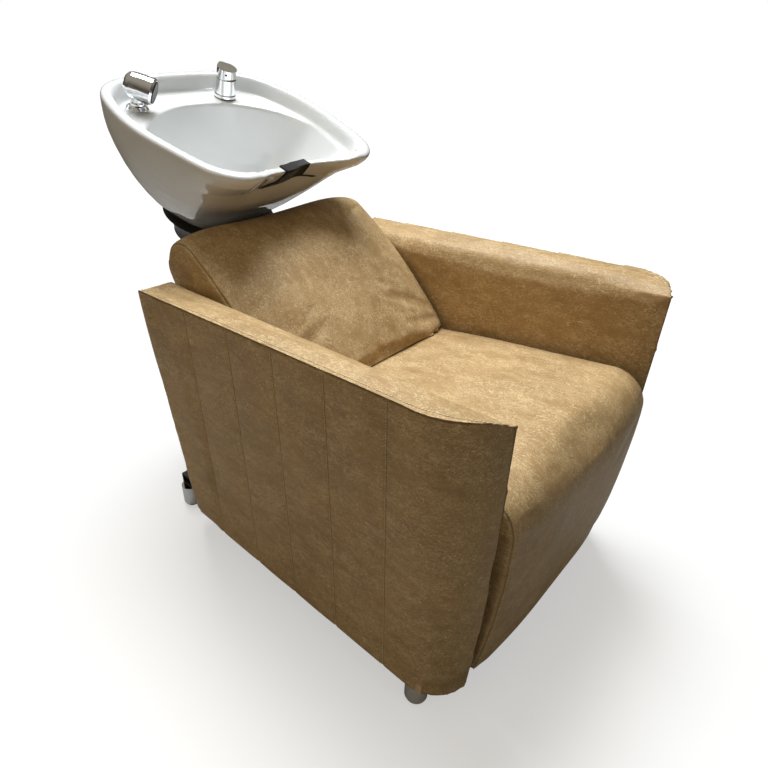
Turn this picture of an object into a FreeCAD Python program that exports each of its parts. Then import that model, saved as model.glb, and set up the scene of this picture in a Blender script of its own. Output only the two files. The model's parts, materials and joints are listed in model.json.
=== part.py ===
import FreeCAD, Part
import math
import os

# Salon backwash unit: an upholstered armchair on a steel base, with a tilting
# ceramic basin on a column behind it. Millimetres, +Z up, the sitter faces -Y.

V = FreeCAD.Vector

# Fits
soft_gap = 0.4            # between a padded piece and what it lies against
cushion_gap = 2.0         # between the back cushion and the seat
seat_fit = 0.3            # between a shaped piece and the ceramic
running_fit = 0.05        # radial, pin in its hole
trim_gap = 1.0            # parting line of the mixer cap

# Legs and steel base
leg_height = 56.0
foot_radius = 20.0
foot_round = 5.0          # lower edge of each foot
glide_radius = 14.0
glide_height = 4.0
front_foot_inset = 43.0   # foot centres inside the arm's outer edge
rear_foot_inset = 58.0
front_foot_y = -428.0
rear_foot_y = 268.0
rail_width = 30.0
rail_height = 25.0
rail_wall = 2.0
rail_x = 100.0
rail_front_y = -440.0
rail_rear_y = 490.0
cross_width = 40.0
cross_end = 6.0           # cross tube past the foot centre
tail_foot_y = 462.0
tail_radius = 16.0

# Arms
width = 660.0             # over the arm tops
arm_lean = 16.5           # outer face leans in towards the floor
arm_thickness = 89.0      # at the top
arm_inner = width / 2 - arm_thickness
front_foot_x = width / 2 - front_foot_inset
rear_foot_x = width / 2 - rear_foot_inset
arm_front_top = 618.0
arm_rear_top = 583.0
arm_rear_y_top = 247.0
arm_rear_y_bottom = 203.0
arm_tip_y = -514.0        # front seam at the top
arm_belly_y = -514.0      # front seam half way up
arm_toe_y = -497.0        # front seam at the bottom
arm_turn_top = -398.0     # where the outer face starts to turn in
arm_turn_bottom = -416.0
arm_nose_in = 20.0        # front seam stands this far outside the inner face at the top
arm_rear_round = 26.0
arm_inner_round = 54.0
core_thickness = 25.0
tie_height = 60.0         # middle rail of the seat frame
core_cover = 30.0         # padding between core and inner face
core_top_cover = 45.0
core_front_y = -440.0
core_rear_y = 170.0
core_rail_width = 52.0
core_rail_height = 22.0
core_rail_front_y = -452.0

# Seat
seat_front = -536.0
seat_side_gap = 3.0
seat_crease_y = -91.0
seat_crease_z = 411.0
seat_slope = 0.126        # falls towards the back
seat_roll = 66.0          # radius of the rolled front edge
seat_crown = 12.0
seat_edge = 2.0            # crown left at the side seams
seat_thickness = 118.0
seat_rear_y = 84.0
apron_thickness = 58.0
apron_bottom = 82.0
apron_tuck = 26.0         # front face runs back towards the floor
board_thickness = 15.0
frame_wall = 20.0
frame_rear_y = 150.0
frame_side_gap = 0.4

# Backrest
back_angle = 42.6         # from the horizontal
back_length = 415.0       # crease to top, along the slope
back_thickness = 137.0
back_crown = 24.0
back_edge = 14.0           # crown left at the side seams
back_side_gap = 3.0
back_side_drop = 13.0     # side seams lie behind the crown
back_board_low = 128.0    # along the slope from the crease
back_board_high = 352.0
post_width = 40.0
post_depth = 36.0
post_x = 150.0
rear_panel_thickness = 14.0
rear_panel_inset = 10.0

# Column
column_behind_pin = 12.0
column_width = 120.0
column_depth = 76.0
column_wall = 3.0
column_below_pin = 56.0
plate_width = 250.0
plate_depth = 150.0
plate_thickness = 6.0
hose_room = 8.0           # round the waste hose in the plate
cover_low_width = 236.0
cover_low_depth = 142.0
cover_top_width = 170.0
cover_top_depth = 120.0
cover_over_column = 28.0
cover_wall = 3.0
web_thickness = 12.0
web_below = 48.0          # under the column's top
cover_round = 26.0

# Tilt joint
pin_forward = 31.6        # pins in front of the waste, below the cradle
pin_drop = 23.45
pin_radius = 6.0
pin_head_radius = 10.0
pin_head = 6.0
cheek_thickness = 6.0
cheek_width = 56.0
cheek_x = 50.0            # inner face of each cheek
lug_thickness = 5.0
washer_thickness = 1.5
washer_radius = 12.0
lug_round = 16.0
bracket_end = 20.0        # bracket plate behind the waste

# Basin, in its own frame: x across, v towards the back, w square to the rim
rim_y = 308.0
rim_z = 841.0
rim_tilt = 17.0
basin_half = 235.0
basin_front = -230.0
basin_rear = 246.0
rim_width = 24.0
lip_bands = 4
rim_round = 9.0
neck_dip = 27.0
neck_half = 130.0
neck_recess = 38.0
deck_drop = 34.0
bowl_depth = 257.0
bowl_floor = 16.0
bowl_wall = 13.0
lip_rear = 152.0          # front edge of the tap deck
foot_v = 40.0             # middle of the bowl's foot
foot_half = 58.0
pocket_front = 40.0
window_half = 60.0
window_low = -150.0
window_rise = 60.0
saddle_half = 33.0
saddle_wing = 76.0        # tip of each side wing under the rim
saddle_thickness = 3.5
saddle_drop = 50.0

# Waste
waste_radius = 34.0
waste_thread_radius = 22.0
waste_flange = 4.0
waste_nut_radius = 36.0
waste_nut = 14.0
waste_step = 2.0
waste_tail = 28.0
waste_clear = 1.5
waste_tail_radius = 20.0
waste_wall = 2.5
strainer_radius = 27.0
strainer_knob = 6.0
strainer_holes = 10
strainer_hole = 3.4

# Cradle under the bowl
cradle_top_radius = 128.0
cradle_neck_radius = 102.0
cradle_rise = 20.0
cradle_drop = 24.0
cradle_plate = 6.0

# Mixer
mixer_inset = 141.0       # tap axis inside the basin's side
mixer_x = basin_half - mixer_inset
mixer_v = 171.0
mixer_radius = 22.0
mixer_base_radius = 24.5
mixer_base = 7.0
mixer_body_height = 40.0
mixer_cap_low = 18.0
mixer_cap_high = 25.0
mixer_shank_radius = 16.0
mixer_nut_radius = 24.0
mixer_nut = 10.0
gasket = 2.0
deck_thickness = 15.0
cartridge_height = 9.0
lever_pin_radius = 1.5
lever_pin_w = 5.0
lever_arm = 11.0          # cross pin in front of the mixer's axis
lever_lift = 15.0
ear_half = 5.0
pin_half = 15.5
cap_room = 11.0
blade_half = 8.0
blade_reach = 4.0
blade_thickness = 10.0
cut_reach = 60.0          # cutters past the cap
plug_radius = 2.4
plug_w = 11.0
plug_bearing = 40.0

# Hand spray
spray_inset = 96.0        # holder axis inside the basin's other side
spray_x = spray_inset - basin_half
spray_v = 152.0
spray_flange_radius = 23.5
spray_flange = 9.0
spray_sleeve_radius = 15.0
spray_nut_radius = 22.0
spray_neck_radius = 11.0
spray_neck = 17.0
spray_tail = 42.0
spray_head_radius = 27.0
spray_head_length = 60.0
spray_lean = 100.0
spray_bearing = 43.0      # turned from straight ahead towards the bowl
bolt_radius = 9.0
bolt_head = 6.0
bolt_edge = 22.0

nodes = {}


def box(x0, x1, y0, y1, z0, z1):
    return Part.makeBox(x1 - x0, y1 - y0, z1 - z0, V(x0, y0, z0))


def rod(radius, start, end):
    return Part.makeCylinder(radius, (end - start).Length, start, end - start)


def outline(start, *steps):
    # A step is one point for a straight run, or two points for an arc.
    edges = []
    here = start
    for step in steps:
        if isinstance(step, tuple):
            edges.append(Part.Arc(here, step[0], step[1]).toShape())
            here = step[1]
        else:
            edges.append(Part.makeLine(here, step))
            here = step
    return Part.Wire(edges)


def prism(wire, along):
    solid = Part.Face(wire).extrude(along)
    if solid.Volume < 0:
        solid.reverse()
    return solid


def turned(points, axis_point, axis):
    # Solid of revolution from (radius, height) corners.
    wire = Part.makePolygon([V(r, 0, h) for r, h in points] + [V(points[0][0], 0, points[0][1])])
    solid = Part.Face(wire).revolve(V(0, 0, 0), V(0, 0, 1), 360)
    turn = FreeCAD.Rotation(V(0, 0, 1), axis)
    return solid.transformed(FreeCAD.Placement(axis_point, turn).toMatrix())


def mirrored(shape):
    return shape.mirror(V(0, 0, 0), V(1, 0, 0))


def both_sides(name, shape):
    nodes["right_" + name] = shape
    nodes["left_" + name] = mirrored(shape)


def tube(x0, x1, y0, y1, z0, z1, wall, axis):
    # Rectangular tube, open at both ends along its axis.
    inset = [wall, wall, wall]
    inset["xyz".index(axis)] = -1.0
    core = box(x0 + inset[0], x1 - inset[0], y0 + inset[1], y1 - inset[1], z0 + inset[2], z1 - inset[2])
    return box(x0, x1, y0, y1, z0, z1).cut(core)


def hexagon(radius, height, base):
    corners = [V(radius * math.cos(k * math.pi / 3), radius * math.sin(k * math.pi / 3), 0) for k in range(7)]
    return prism(Part.makePolygon(corners), V(0, 0, height)).translated(base)


# Steel base

frame_top = leg_height + rail_height


def make_base():
    rails = []
    for side in (-1, 1):
        x = side * rail_x
        rails.append(tube(x - rail_width / 2, x + rail_width / 2, rail_front_y, rail_rear_y,
                          leg_height, frame_top, rail_wall, "y"))
    between = rail_x - rail_width / 2
    outside = rail_x + rail_width / 2
    reach = rear_foot_x + cross_end
    inner = arm_inner - frame_side_gap
    half = cross_width / 2
    spans = [(-between, between, front_foot_y), (-inner, -outside, front_foot_y), (outside, inner, front_foot_y),
             (-between, between, rear_foot_y), (-reach, -outside, rear_foot_y), (outside, reach, rear_foot_y)]
    for x0, x1, y in spans:
        rails.append(tube(x0, x1, y - half, y + half, leg_height, frame_top, rail_wall, "x"))
    return rails[0].multiFuse(rails[1:]).removeSplitter()


def make_foot(x, y):
    low = glide_height
    profile = [(0, low), (foot_radius - foot_round, low),
               (foot_radius - foot_round * 0.3, low + foot_round * 0.3),
               (foot_radius, low + foot_round), (foot_radius, leg_height), (0, leg_height)]
    return turned(profile, V(x, y, 0), V(0, 0, 1))


def make_feet():
    glides = []
    places = {"front": (front_foot_x, front_foot_y), "rear": (rear_foot_x, rear_foot_y)}
    for name, (x, y) in places.items():
        both_sides(name + "_foot", make_foot(x, y))
        for side in (-1, 1):
            glides.append(rod(glide_radius, V(side * x, y, 0), V(side * x, y, glide_height)))
    tails = [rod(tail_radius, V(side * rail_x, tail_foot_y, 0), V(side * rail_x, tail_foot_y, leg_height))
             for side in (-1, 1)]
    nodes["foot_glides"] = Part.makeCompound(glides)
    nodes["tail_legs"] = Part.makeCompound(tails)


# Arms

def arm_top(y):
    rise = (arm_front_top - arm_rear_top) / (arm_rear_y_top - arm_tip_y)
    return arm_front_top - rise * (y - arm_tip_y)


def arm_section(outer, inner, nose, tip, turn, rear, height):
    def at(x, y):
        return V(x, y, height(y))
    bend = math.sqrt(0.5)
    corner = at(nose + (outer - nose) * bend, turn + (tip - turn) * bend)
    knuckle = arm_rear_round * (1 - bend)
    return outline(at(inner, rear), at(nose, tip), (corner, at(outer, turn)),
                   at(outer, rear - arm_rear_round),
                   (at(outer - knuckle, rear - knuckle), at(outer - arm_rear_round, rear)), at(inner, rear))


def make_arm():
    half = width / 2
    middle = (leg_height + arm_front_top) / 2
    low = arm_section(half - arm_lean, arm_inner, arm_inner, arm_toe_y, arm_turn_bottom,
                      arm_rear_y_bottom, lambda y: leg_height)
    mid = arm_section(half - arm_lean / 2, arm_inner, arm_inner + arm_nose_in / 2, arm_belly_y,
                      (arm_turn_top + arm_turn_bottom) / 2,
                      (arm_rear_y_top + arm_rear_y_bottom) / 2 + 8, lambda y: middle)
    high = arm_section(half, arm_inner, arm_inner + arm_nose_in, arm_tip_y, arm_turn_top,
                       arm_rear_y_top, arm_top)
    pad = Part.makeLoft([low, mid, high], True, False)
    top_edges = [e for e in pad.Edges if e.BoundBox.ZMin > middle]
    inner_edge = max(top_edges, key=lambda e: e.Length - e.CenterOfMass.x)
    wall = half - arm_lean - arm_inner
    pad = pad.makeFillet(min(arm_inner_round, wall * 0.75), [inner_edge])
    x0 = arm_inner + core_cover
    x1 = x0 + core_thickness
    side = outline(V(x0, core_front_y, leg_height), V(x0, core_rear_y, leg_height),
                   V(x0, core_rear_y, arm_top(core_rear_y) - core_top_cover),
                   V(x0, core_front_y, arm_top(core_front_y) - core_top_cover), V(x0, core_front_y, leg_height))
    centre = (x0 + x1) / 2
    rail = box(centre - core_rail_width / 2, centre + core_rail_width / 2, core_rail_front_y, core_rear_y,
               leg_height, leg_height + core_rail_height)
    core = prism(side, V(core_thickness, 0, 0)).fuse(rail).removeSplitter()
    both_sides("arm_core", core)
    both_sides("arm_pad", pad.cut(core))


# Seat

def seat_top(y):
    return seat_crease_z - seat_slope * (y - seat_crease_y)


seat_under = seat_top(seat_rear_y) - seat_thickness


def seat_section(x, crown, draw):
    front = seat_front + draw
    toe = front + apron_tuck
    start = front + seat_roll
    top = seat_top(start) + crown
    bend = seat_roll * (1 - math.sqrt(0.5))
    belly_z = (apron_bottom + top - seat_roll) / 2
    middle_y = (start + seat_crease_y) / 2
    return outline(V(x, seat_rear_y, seat_under), V(x, seat_rear_y, seat_top(seat_rear_y)),
                   V(x, seat_crease_y, seat_top(seat_crease_y)),
                   (V(x, middle_y, seat_top(middle_y) + crown * 1.1), V(x, start, top)),
                   (V(x, front + bend, top - bend), V(x, front, top - seat_roll)),
                   (V(x, front + apron_tuck * 0.2, belly_z), V(x, toe, apron_bottom)),
                   V(x, toe + apron_thickness, apron_bottom),
                   V(x, front + apron_thickness + apron_tuck, seat_under), V(x, seat_rear_y, seat_under))


def make_seat():
    half = arm_inner - seat_side_gap
    inner = half - 34
    rows = [(-half, seat_edge, 7), (-inner, seat_crown * 0.6, 1), (0, seat_crown, 0),
            (inner, seat_crown * 0.6, 1), (half, seat_edge, 7)]
    sections = [seat_section(*row) for row in rows]
    nodes["seat_cushion"] = Part.makeLoft(sections, True, False)
    inner = arm_inner - frame_side_gap
    low = frame_top
    top = seat_under - board_thickness
    front = seat_front + apron_thickness + apron_tuck + 8
    ring = box(-inner, inner, front, frame_rear_y, low, top)
    ring = ring.cut(box(-inner + frame_wall, inner - frame_wall, front + frame_wall,
                        frame_rear_y - frame_wall, low - 1, top + 1))
    tie = box(-frame_wall / 2, frame_wall / 2, front + frame_wall, frame_rear_y - frame_wall, top - tie_height, top)
    nodes["seat_frame"] = ring.fuse(tie).removeSplitter()
    nodes["seat_board"] = box(-inner, inner, front, frame_rear_y, top, seat_under)


# Backrest

slope = math.radians(back_angle)
crease = V(0, seat_crease_y, seat_crease_z)
up_back = V(0, math.cos(slope), math.sin(slope))
out_front = V(0, -math.sin(slope), math.cos(slope))


def on_back(x, along, out):
    return crease + V(x, 0, 0) + up_back * along + out_front * out


def back_section(x, crown, drop, short):
    # drop is how far the section's front face lies behind the middle one.
    end = back_length - short
    roll = (back_thickness - drop) / 2
    low_front = -30
    low_rear = 90
    heart = end - roll
    middle = (low_front + heart) / 2
    bend = roll * math.sqrt(0.5)
    centre = -drop - roll
    return outline(on_back(x, low_rear, -back_thickness), on_back(x, low_front, -drop),
                   (on_back(x, middle, crown - drop), on_back(x, heart, -drop)),
                   (on_back(x, heart + bend, centre + bend), on_back(x, end, centre)),
                   (on_back(x, heart + bend, centre - bend), on_back(x, heart, -back_thickness)),
                   on_back(x, low_rear, -back_thickness))


def make_back():
    half = arm_inner - back_side_gap
    inner = half - 38
    rows = [(-half, back_edge, back_side_drop, 8), (-inner, back_crown * 0.8, back_side_drop * 0.15, 1),
            (0, back_crown, 0, 0),
            (inner, back_crown * 0.8, back_side_drop * 0.15, 1), (half, back_edge, back_side_drop, 8)]
    sections = [back_section(*row) for row in rows]
    pad = Part.makeLoft(sections, True, False)
    reach = 600.0
    bed = [V(-width, seat_crease_y - reach, seat_top(seat_crease_y - reach) + cushion_gap),
           V(-width, seat_rear_y + reach, seat_top(seat_rear_y + reach) + cushion_gap),
           V(-width, seat_rear_y + reach, -reach), V(-width, seat_crease_y - reach, -reach)]
    below = prism(Part.makePolygon(bed + bed[:1]), V(2 * width, 0, 0))
    nodes["backrest_cushion"] = pad.cut(below)
    board = Part.makePolygon([on_back(-half, a, o) for a, o in (
        (back_board_low, -back_thickness), (back_board_high, -back_thickness),
        (back_board_high, -back_thickness - board_thickness), (back_board_low, -back_thickness - board_thickness),
        (back_board_low, -back_thickness))])
    nodes["back_board"] = prism(board, V(2 * half, 0, 0))


panel_lean = (arm_rear_y_top - arm_rear_y_bottom) / (arm_rear_top - leg_height)
board_rise = math.tan(slope)
board_under = on_back(0, back_board_low, -back_thickness - board_thickness)


def rear_panel_y(z):
    return arm_rear_y_bottom - rear_panel_inset + panel_lean * (z - leg_height)


def make_rear():
    half = arm_inner - back_side_gap
    low = frame_top
    # The panel's front top edge ends just under the sloping back board.
    base = rear_panel_y(0) - rear_panel_thickness - board_under.y
    top = (board_under.z + board_rise * base - soft_gap) / (1 - board_rise * panel_lean)
    corners = [V(-half, rear_panel_y(low), low), V(-half, rear_panel_y(top), top),
               V(-half, rear_panel_y(top) - rear_panel_thickness, top),
               V(-half, rear_panel_y(low) - rear_panel_thickness, low)]
    nodes["rear_panel"] = prism(Part.makePolygon(corners + corners[:1]), V(2 * half, 0, 0))
    # Two timber posts on the seat board carry the back board.
    posts = []
    for side in (-1, 1):
        x = side * post_x - post_width / 2
        front = frame_rear_y - post_depth
        corners = [V(x, front, seat_under), V(x, frame_rear_y, seat_under),
                   V(x, frame_rear_y, board_under.z + board_rise * (frame_rear_y - board_under.y)),
                   V(x, front, board_under.z + board_rise * (front - board_under.y))]
        posts.append(prism(Part.makePolygon(corners + corners[:1]), V(post_width, 0, 0)))
    nodes["back_posts"] = Part.makeCompound(posts)


# The tilt joint hangs below the bowl's cradle, and the column stands below the joint.

basin_place = FreeCAD.Placement(V(0, rim_y, rim_z), FreeCAD.Rotation(V(1, 0, 0), rim_tilt))
bracket_under = -bowl_depth - cradle_drop - cradle_plate - lug_thickness
waste_line = basin_place.multVec(V(0, foot_v, bracket_under))
pin_y = waste_line.y - pin_forward
pin_z = waste_line.z - pin_drop
column_y = pin_y + column_behind_pin
column_top = pin_z - column_below_pin
cover_top = column_top + cover_over_column


def make_column():
    half = column_width / 2
    y0 = column_y - column_depth / 2
    y1 = column_y + column_depth / 2
    plate = box(-plate_width / 2, plate_width / 2, column_y - plate_depth / 2, column_y + plate_depth / 2,
                frame_top, frame_top + plate_thickness)
    bore = rod(waste_tail_radius + hose_room, V(0, column_y, frame_top - 1),
               V(0, column_y, frame_top + plate_thickness + 1))
    nodes["column_plate"] = plate.cut(bore)
    nodes["column"] = tube(-half, half, y0, y1, frame_top + plate_thickness, column_top, column_wall, "z")
    low = frame_top + plate_thickness

    def ring(w, d, z, inset):
        x = w / 2 - inset
        y = d / 2 - inset
        r = cover_round - inset
        k = r * (1 - math.sqrt(0.5))
        c = column_y
        return outline(V(-x + r, c - y, z), V(x - r, c - y, z), (V(x - k, c - y + k, z), V(x, c - y + r, z)),
                       V(x, c + y - r, z), (V(x - k, c + y - k, z), V(x - r, c + y, z)),
                       V(-x + r, c + y, z), (V(-x + k, c + y - k, z), V(-x, c + y - r, z)),
                       V(-x, c - y + r, z), (V(-x + k, c - y + k, z), V(-x + r, c - y, z)))
    shell = Part.makeLoft([ring(cover_low_width, cover_low_depth, low, 0),
                           ring(cover_top_width, cover_top_depth, cover_top, 0)], True, True)
    hollow = Part.makeLoft([ring(cover_low_width, cover_low_depth, low, cover_wall),
                            ring(cover_top_width, cover_top_depth, cover_top, cover_wall)], True, True)
    # A floor lip rests on the plate and two webs bear on the column.
    cover = shell.cut(hollow)
    web_y = column_y - web_thickness / 2
    web_top = column_top - web_below
    for side in (-1, 1):
        web = box(min(side * half, side * cover_low_width), max(side * half, side * cover_low_width),
                  web_y, web_y + web_thickness, web_top - web_thickness, web_top)
        cover = cover.fuse(web.common(shell))
    nodes["column_cover"] = cover.removeSplitter()


def make_yoke():
    outer = cheek_x + cheek_thickness
    floor = box(-column_width / 2, column_width / 2, column_y - column_depth / 2, column_y + column_depth / 2,
                column_top, column_top + cheek_thickness)
    window = box(-cheek_x + 8, cheek_x - 8, column_y - column_depth / 2 + 10, column_y + column_depth / 2 - 10,
                 column_top - 1, column_top + cheek_thickness + 1)
    floor = floor.cut(window)
    half = cheek_width / 2
    low = column_top + cheek_thickness
    cheek = outline(V(cheek_x, pin_y - half, low), V(cheek_x, pin_y - lug_round, pin_z),
                    (V(cheek_x, pin_y, pin_z + lug_round), V(cheek_x, pin_y + lug_round, pin_z)),
                    V(cheek_x, pin_y + half, low), V(cheek_x, pin_y - half, low))
    cheek = prism(cheek, V(cheek_thickness, 0, 0))
    cheek = cheek.cut(rod(pin_radius, V(cheek_x - 1, pin_y, pin_z), V(outer + 1, pin_y, pin_z)))
    nodes["tilt_yoke"] = floor.multiFuse([cheek, mirrored(cheek)]).removeSplitter()
    inside = cheek_x - washer_thickness - lug_thickness
    pins = []
    for side in (-1, 1):
        pin = rod(pin_radius, V(inside, pin_y, pin_z), V(outer, pin_y, pin_z))
        head = rod(pin_head_radius, V(outer, pin_y, pin_z), V(outer + pin_head, pin_y, pin_z))
        pin = pin.fuse(head).removeSplitter()
        pins.append(pin if side > 0 else mirrored(pin))
    nodes["tilt_pins"] = Part.makeCompound(pins)
    washers = []
    for side in (-1, 1):
        start = V(cheek_x - washer_thickness, pin_y, pin_z)
        washer = rod(washer_radius, start, V(cheek_x, pin_y, pin_z))
        washer = washer.cut(rod(pin_radius, start - V(1, 0, 0), V(cheek_x + 1, pin_y, pin_z)))
        washers.append(washer if side > 0 else mirrored(washer))
    nodes["friction_washers"] = Part.makeCompound(washers)


# Basin



def in_basin(shape):
    return shape.transformed(basin_place.toMatrix())


def loop_points(w, half, front, rear, neck, broad):
    # Closed curve round the basin at height w. neck is the share of the neck recess,
    # broad runs from an oval back (0) to the full back of the rim (1).
    recess = neck_recess * neck
    length = rear - front
    nose = 0.04 * length * (1 - neck)

    def back(full, oval):
        return front + length * (oval + (full - oval) * broad)
    right = [(0.0, front + recess), (0.34, front + recess * 0.6 + nose * 0.2), (0.60, front + nose),
             (0.79, front + length * 0.052 + nose), (0.925, front + length * 0.232), (1.0, front + length * 0.486),
             (0.95, back(0.735, 0.646)), (0.79, back(0.912, 0.801)), (0.45, back(0.987, 0.945))]
    points = [V(half * x, v, w) for x, v in right]
    points.append(V(0, rear, w))
    points.extend(V(-half * x, v, w) for x, v in reversed(right[1:]))
    return points


# All loops share the rim's spacing, so that the lofts between them stay smooth.
rim_points = loop_points(0, basin_half, basin_front, basin_rear, 1.0, 1.0)
loop_marks = [0.0]
for here, there in zip(rim_points, rim_points[1:] + rim_points[:1]):
    loop_marks.append(loop_marks[-1] + (there - here).Length / basin_half)


def basin_loop(*shape):
    curve = Part.BSplineCurve()
    curve.interpolate(Points=loop_points(*shape), PeriodicFlag=True, Parameters=loop_marks)
    return Part.Wire(curve.toShape())


def with_between(rows):
    # The same rows with one more between each two, on a smooth curve through them.
    full = []
    for k, row in enumerate(rows[:-1]):
        near = [rows[max(k - 1, 0)], row, rows[k + 1], rows[min(k + 2, len(rows) - 1)]]
        full.append(row)
        full.append(tuple((9 * (b + c) - a - d) / 16 for a, b, c, d in zip(*near)))
    return full + [rows[-1]]


def bowl_solid(grow, lip=0):
    # Outside of the bowl from the rim down to its foot, each row as a share of the depth
    # and as insets from the rim at the side, front and back. lip rounds the rim's edge.
    rows = [(0.12, 2, 14, 1, 0.9, 0.95), (0.26, 9, 54, 5, 0.5, 0.8), (0.46, 30, 94, 18, 0.1, 0.5),
            (0.68, 68, 144, 46, 0.0, 0.2), (0.865, 114, 192, 92, 0.0, 0.0),
            (1.0, basin_half - foot_half, foot_v - foot_half - basin_front,
             basin_rear - foot_v - foot_half, 0, 0)]
    top = [(0, 0, 0, 0, 1.0, 1.0)]
    if lip:
        turns = [math.radians(90 * k / lip_bands) for k in range(lip_bands + 1)]
        insets = [(lip * (1 - math.cos(a)) / bowl_depth, lip * (1 - math.sin(a))) for a in turns]
        top = [(share, inset, inset, inset, 1.0, 1.0) for share, inset in insets]
    rows = top[:-1] + with_between([top[-1]] + rows)
    loops = [basin_loop(-share * bowl_depth, basin_half - side + grow, basin_front + front - grow,
                        basin_rear - back + grow, neck, broad)
             for share, side, front, back, neck, broad in rows[:-1]]
    loops.append(basin_loop(-bowl_depth - grow, foot_half + grow, foot_v - foot_half - grow,
                            foot_v + foot_half + grow, 0, 0))
    return Part.makeLoft(loops, True, True)


def recess_solid():
    # Shallow hollow inside the rim, down to the tap deck.
    lead = rim_round * 0.6
    rows = [(lead, rim_width - rim_round - lead, 1.0), (0, rim_width - lead, 1.0), (-rim_round, rim_width, 1.0),
            (-deck_drop, rim_width + 6, 0.9)]
    loops = [basin_loop(w, basin_half - inset, basin_front + inset * 1.1, basin_rear - inset, neck, 1.0)
             for w, inset, neck in rows]
    return Part.makeLoft(loops, True, True)


def hollow_solid(grow):
    # Deep hollow in front of the tap deck, down to the waste.
    floor = waste_radius + 4
    low = 1 - bowl_floor / bowl_depth
    rows = [(0.08, 32, 42, 0, 0.8), (0.24, 46, 72, 6, 0.5), (0.5, 68, 130, 22, 0.1), (0.74, 114, 188, 44, 0.0),
            (low, basin_half - floor, foot_v - floor - basin_front, lip_rear - foot_v - floor, 0)]
    rows = with_between(rows)
    loops = [basin_loop(-share * bowl_depth, basin_half - side + grow, basin_front + front - grow,
                        lip_rear - back + grow, neck, 0)
             for share, side, front, back, neck in rows[:-1]]
    loops.append(basin_loop(bowl_floor - bowl_depth - grow, floor + grow, foot_v - floor - grow,
                            foot_v + floor + grow, 0, 0))
    return Part.makeLoft(loops, True, True)


def neck_cutter(dip):
    radius = (neck_half ** 2 + dip ** 2) / (2 * dip)
    start = V(0, basin_front - cut_reach, radius - dip)
    return rod(radius, start, start + V(0, cut_reach + abs(basin_front), 0))


deck = -deck_drop
pocket_top = deck - deck_thickness


def make_basin():
    body = bowl_solid(0, rim_round)
    body = body.cut(recess_solid()).cut(hollow_solid(0)).cut(neck_cutter(neck_dip))
    # Dry space under the tap deck, open through the back of the skirt.
    room = box(-basin_half, basin_half, pocket_front, basin_rear, -bowl_depth * 0.8, pocket_top)
    pocket = bowl_solid(-bowl_wall).common(room).cut(hollow_solid(bowl_wall))
    window = outline(V(-window_half, 0, window_low), V(window_half, 0, window_low),
                     (V(window_half + window_rise / 2, 0, window_low + window_rise / 2),
                      V(window_half, 0, window_low + window_rise)),
                     V(-window_half, 0, window_low + window_rise),
                     (V(-window_half - window_rise / 2, 0, window_low + window_rise / 2),
                      V(-window_half, 0, window_low)))
    window = prism(window, V(0, basin_rear, 0)).translated(V(0, lip_rear, 0))
    body = body.cut(pocket).cut(window)
    for x, v, r in ((mixer_x, mixer_v, mixer_shank_radius), (spray_x, spray_v, spray_sleeve_radius)):
        body = body.cut(rod(r + seat_fit, V(x, v, pocket_top - 1), V(x, v, deck + 1)))
    body = body.cut(rod(waste_thread_radius + seat_fit, V(0, foot_v, -bowl_depth - 1), V(0, foot_v, deck)))
    nodes["basin"] = in_basin(body)
    # Rubber saddle over the neck rim.
    saddle = bowl_solid(saddle_thickness).cut(recess_solid()).cut(neck_cutter(neck_dip - saddle_thickness))
    low = -neck_dip - saddle_drop
    front = basin_front - 2 * saddle_thickness
    zone = outline(V(-saddle_half, front, 0), V(saddle_half, front, 0), V(saddle_half + 3, front, low * 0.72),
                   V(saddle_wing, front, low * 0.84), V(saddle_half, front, low), V(-saddle_half, front, low),
                   V(-saddle_wing, front, low * 0.84), V(-saddle_half - 3, front, low * 0.72),
                   V(-saddle_half, front, 0))
    zone = prism(zone, V(0, neck_recess + rim_width + 3 * saddle_thickness, 0))
    pieces = saddle.common(zone).cut(body).Solids
    nodes["neck_rest"] = in_basin(max(pieces, key=lambda piece: piece.Volume))


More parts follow.
